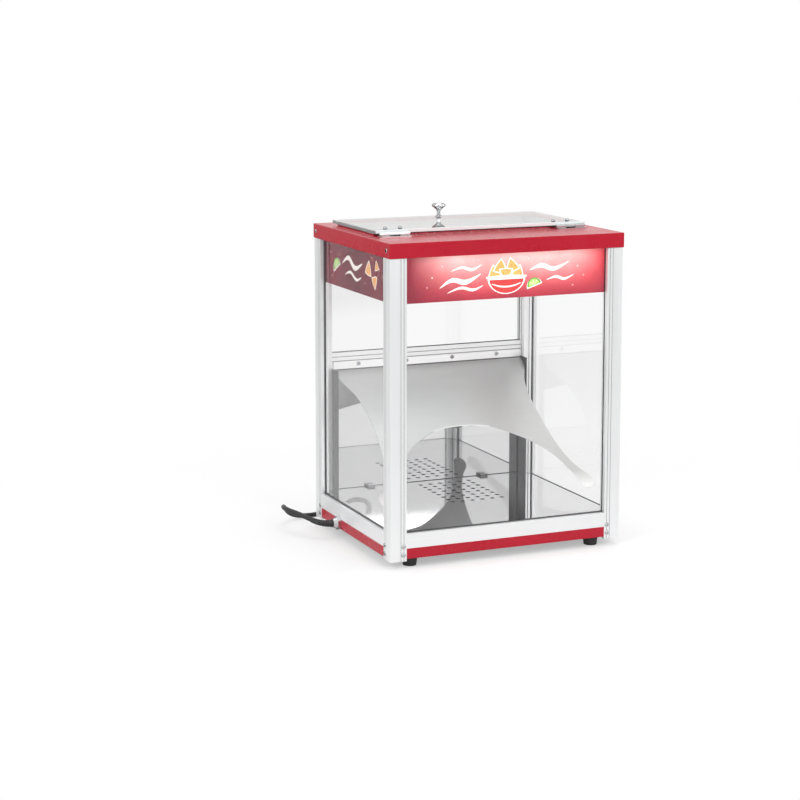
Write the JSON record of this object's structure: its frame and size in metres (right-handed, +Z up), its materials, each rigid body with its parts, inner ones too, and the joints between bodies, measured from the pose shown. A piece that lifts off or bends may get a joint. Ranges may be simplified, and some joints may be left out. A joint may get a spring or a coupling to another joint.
{
  "type": "chip warmer display cabinet",
  "caption": "Countertop chip warming cabinet: glass-sided frame, red cover with a hinged glass lid, chip deflector and a rear serving door that swings up.",
  "frame": {"origin": "bottom centre of the cabinet, where its feet stand", "axes": "+Z up, +X to the right seen from the front, front with the lit sign towards -Y"},
  "size_m": [0.4459, 0.4856, 0.51],
  "materials": {
    "satin_aluminium": "satin anodised",
    "red_paint": "gloss",
    "clear_glass": "clear",
    "polished_steel": "polished",
    "satin_steel": "satin",
    "bright_chrome": "bright",
    "bright_aluminium": "bright",
    "zinc_screw": "zinc plated",
    "sign_panel": "translucent",
    "black_rubber": "matt",
    "grey_seal": "matt",
    "black_plastic": "fine",
    "red_rocker": "gloss",
    "white_ceramic": "plain",
    "lamp_glass": "frosted",
    "wire_insulation": "plain"
  },
  "bodies": {
    "cabinet": {"base_pan": "red_paint", "cable_gland": "bright_chrome", "coil_tie": "black_rubber", "cord_boot": "black_rubber", "cord_coil": "black_rubber", "cord_lead": "black_rubber", "cover_screws": "zinc_screw", "deflector": "satin_steel", "deflector_screws": "zinc_screw", "door_hinge_fixed": "satin_steel", "door_hinge_pin": "satin_steel", "door_jambs": "satin_steel", "door_magnets": "black_plastic", "floor_plate": "polished_steel", "foot_screws": "zinc_screw", "frame_screws": "zinc_screw", "glass_front": "clear_glass", "glass_left": "clear_glass", "glass_rear": "clear_glass", "glass_right": "clear_glass", "heater_element": "zinc_screw", "heater_tray": "satin_steel", "lamp_bulb": "lamp_glass", "lamp_guard": "satin_steel", "lamp_holder": "white_ceramic", "lid_hinge_fixed": "bright_chrome", "lid_hinge_pins": "bright_chrome", "lid_seal": "grey_seal", "plug": "black_plastic", "post_front_left": "satin_aluminium", "post_front_right": "satin_aluminium", "post_rear_left": "satin_aluminium", "post_rear_right": "satin_aluminium", "rail_front": "satin_aluminium", "rail_left": "satin_aluminium", "rail_rear": "satin_aluminium", "rail_right": "satin_aluminium", "rear_crossbar": "satin_aluminium", "rubber_feet": "black_rubber", "sign_front": "sign_panel", "sign_left": "sign_panel", "sign_right": "sign_panel", "switch_bodies": "black_plastic", "terminal_block": "white_ceramic", "thermostat": "black_plastic", "top_cover": "red_paint", "upper_rails_long": "satin_aluminium", "upper_rails_short": "satin_aluminium", "wire_duct": "satin_aluminium", "wiring": "wire_insulation"},
    "lid": {"lid_glass": "clear_glass", "lid_front_strip": "bright_aluminium", "lid_hinge_moving": "bright_chrome", "lid_screws": "bright_chrome", "lid_nuts": "bright_chrome", "lid_knob": "bright_chrome"},
    "rear_door": {"rear_door": "polished_steel", "door_hinge_moving": "satin_steel"},
    "rocker_warm": {"rocker_warm": "black_plastic"},
    "rocker_lamp": {"rocker_lamp": "red_rocker"}
  },
  "joints": [
    {"name": "lid_hinge", "type": "hinge", "parent": "cabinet", "child": "lid", "pos_m": [0, -0.0655, 0.4849], "axis": [1, 0, 0], "range_deg": [0, 95]},
    {"name": "rear_door_hinge", "type": "hinge", "parent": "cabinet", "child": "rear_door", "pos_m": [0, 0.1503, 0.2474], "axis": [1, 0, 0], "range_deg": [0, 90]},
    {"name": "warm_switch", "type": "hinge", "parent": "cabinet", "child": "rocker_warm", "pos_m": [0.092, 0.1478, 0.041], "axis": [0, 0, 1], "range_deg": [-14, 0]},
    {"name": "lamp_switch", "type": "hinge", "parent": "cabinet", "child": "rocker_lamp", "pos_m": [0.122, 0.1478, 0.041], "axis": [0, 0, 1], "range_deg": [-14, 0]}
  ]
}
